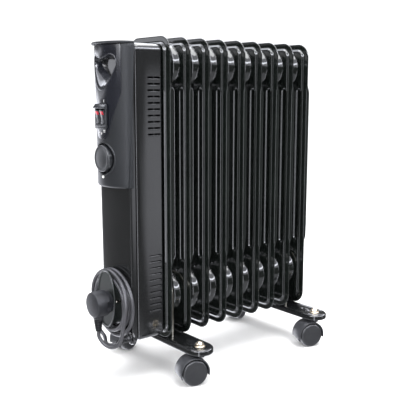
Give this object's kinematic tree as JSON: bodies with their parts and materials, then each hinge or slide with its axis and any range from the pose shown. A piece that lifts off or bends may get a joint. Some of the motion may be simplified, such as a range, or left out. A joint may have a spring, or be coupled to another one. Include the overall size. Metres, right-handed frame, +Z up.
{
  "type": "oil filled radiator heater",
  "caption": "Free-standing oil filled radiator heater on casters: rounded pressed-steel fins in a row, a louvred control box with rocker switches, thermostat dial, hand grip and wound mains lead.",
  "frame": {"origin": "on the floor under the middle of the heater, measured without the mains lead", "axes": "+X along the row of fins away from the control box, +Y across the fins, +Z up"},
  "size_m": [0.5062, 0.28, 0.618],
  "materials": {
    "enamel": "deep grey gloss stove enamel on pressed steel",
    "black_sheet": "black gloss enamel on folded sheet steel",
    "fascia_plastic": "dark grey moulded ABS, fine satin texture",
    "gloss_plastic": "dark grey ABS, polished",
    "rocker_plastic": "dark grey rocker with a red window",
    "lamp_lens": "opal lens",
    "winder_plastic": "grey moulded polypropylene",
    "cord_pvc": "grey PVC sheath",
    "plug_pvc": "grey moulded PVC",
    "black_rubber": "black flexible boot",
    "zinc": "zinc plated steel",
    "caster_plastic": "grey moulded nylon",
    "inner_plastic": "cream heat resistant plastic",
    "steel": "bare steel"
  },
  "bodies": {
    "heater": {"fin_1": "enamel", "fin_2": "enamel", "fin_3": "enamel", "fin_4": "enamel", "fin_5": "enamel", "fin_6": "enamel", "fin_7": "enamel", "fin_8": "enamel", "fin_9": "enamel", "oil_filler_plug": "zinc", "control_box_casing": "black_sheet", "end_cover": "black_sheet", "fascia": "fascia_plastic", "gloss_panel": "gloss_plastic", "grip_scoop": "gloss_plastic", "switch_body": "fascia_plastic", "thermostat": "inner_plastic", "pilot_lamp": "lamp_lens", "mounting_plate": "steel", "heating_element": "steel", "thermal_cutout": "inner_plastic", "terminal_block": "inner_plastic", "tip_over_switch": "inner_plastic", "cord_winder": "winder_plastic", "cord_coil": "cord_pvc", "strain_relief": "black_rubber", "cord_lead_in": "cord_pvc", "mains_plug": "plug_pvc", "cord_lead_out": "cord_pvc", "foot_front": "black_sheet", "u_bolt_front": "zinc", "wing_nut_front_left": "zinc", "wing_nut_front_right": "zinc", "foot_rear": "black_sheet", "u_bolt_rear": "zinc", "wing_nut_rear_left": "zinc", "wing_nut_rear_right": "zinc", "caster_stem_front_left": "steel", "dome_nut_front_left": "zinc", "caster_stem_front_right": "steel", "dome_nut_front_right": "zinc", "caster_stem_rear_left": "steel", "dome_nut_rear_left": "zinc", "caster_stem_rear_right": "steel", "dome_nut_rear_right": "zinc"},
    "knob": {"thermostat_knob": "fascia_plastic"},
    "rocker_1": {"rocker_switch_1": "rocker_plastic"},
    "rocker_2": {"rocker_switch_2": "rocker_plastic"},
    "swivel_front_left": {"caster_hood_front_left": "caster_plastic"},
    "wheel_front_left_a": {"caster_wheel_front_left_a": "caster_plastic"},
    "wheel_front_left_b": {"caster_wheel_front_left_b": "caster_plastic"},
    "swivel_front_right": {"caster_hood_front_right": "caster_plastic"},
    "wheel_front_right_a": {"caster_wheel_front_right_a": "caster_plastic"},
    "wheel_front_right_b": {"caster_wheel_front_right_b": "caster_plastic"},
    "swivel_rear_left": {"caster_hood_rear_left": "caster_plastic"},
    "wheel_rear_left_a": {"caster_wheel_rear_left_a": "caster_plastic"},
    "wheel_rear_left_b": {"caster_wheel_rear_left_b": "caster_plastic"},
    "swivel_rear_right": {"caster_hood_rear_right": "caster_plastic"},
    "wheel_rear_right_a": {"caster_wheel_rear_right_a": "caster_plastic"},
    "wheel_rear_right_b": {"caster_wheel_rear_right_b": "caster_plastic"}
  },
  "joints": [
    {"name": "thermostat_turn", "type": "hinge", "parent": "heater", "child": "knob", "pos_m": [-0.23055, 0, 0.406], "axis": [1, 0, 0], "range_deg": [0, 270]},
    {"name": "rocker_1_tip", "type": "hinge", "parent": "heater", "child": "rocker_1", "pos_m": [-0.22955, 0.0079, 0.479], "axis": [0, 1, 0], "range_deg": [0, 14]},
    {"name": "rocker_2_tip", "type": "hinge", "parent": "heater", "child": "rocker_2", "pos_m": [-0.22955, -0.0079, 0.479], "axis": [0, 1, 0], "range_deg": [0, 14]},
    {"name": "caster_swivel_front_left", "type": "hinge", "parent": "heater", "child": "swivel_front_left", "pos_m": [-0.10855, -0.116, 0.057], "axis": [0, 0, 1], "continuous": true},
    {"name": "wheel_roll_front_left_a", "type": "hinge", "parent": "swivel_front_left", "child": "wheel_front_left_a", "pos_m": [-0.12187, -0.11167, 0.024], "axis": [0.309, 0.9511, 0], "continuous": true},
    {"name": "wheel_roll_front_left_b", "type": "hinge", "parent": "swivel_front_left", "child": "wheel_front_left_b", "pos_m": [-0.12187, -0.11167, 0.024], "axis": [0.309, 0.9511, 0], "continuous": true},
    {"name": "caster_swivel_front_right", "type": "hinge", "parent": "heater", "child": "swivel_front_right", "pos_m": [-0.10855, 0.116, 0.057], "axis": [0, 0, 1], "continuous": true},
    {"name": "wheel_roll_front_right_a", "type": "hinge", "parent": "swivel_front_right", "child": "wheel_front_right_a", "pos_m": [-0.12187, 0.11167, 0.024], "axis": [-0.309, 0.9511, 0], "continuous": true},
    {"name": "wheel_roll_front_right_b", "type": "hinge", "parent": "swivel_front_right", "child": "wheel_front_right_b", "pos_m": [-0.12187, 0.11167, 0.024], "axis": [-0.309, 0.9511, 0], "continuous": true},
    {"name": "caster_swivel_rear_left", "type": "hinge", "parent": "heater", "child": "swivel_rear_left", "pos_m": [0.19945, -0.116, 0.057], "axis": [0, 0, 1], "continuous": true},
    {"name": "wheel_roll_rear_left_a", "type": "hinge", "parent": "swivel_rear_left", "child": "wheel_rear_left_a", "pos_m": [0.18613, -0.11167, 0.024], "axis": [0.309, 0.9511, 0], "continuous": true},
    {"name": "wheel_roll_rear_left_b", "type": "hinge", "parent": "swivel_rear_left", "child": "wheel_rear_left_b", "pos_m": [0.18613, -0.11167, 0.024], "axis": [0.309, 0.9511, 0], "continuous": true},
    {"name": "caster_swivel_rear_right", "type": "hinge", "parent": "heater", "child": "swivel_rear_right", "pos_m": [0.19945, 0.116, 0.057], "axis": [0, 0, 1], "continuous": true},
    {"name": "wheel_roll_rear_right_a", "type": "hinge", "parent": "swivel_rear_right", "child": "wheel_rear_right_a", "pos_m": [0.18613, 0.11167, 0.024], "axis": [-0.309, 0.9511, 0], "continuous": true},
    {"name": "wheel_roll_rear_right_b", "type": "hinge", "parent": "swivel_rear_right", "child": "wheel_rear_right_b", "pos_m": [0.18613, 0.11167, 0.024], "axis": [-0.309, 0.9511, 0], "continuous": true}
  ]
}
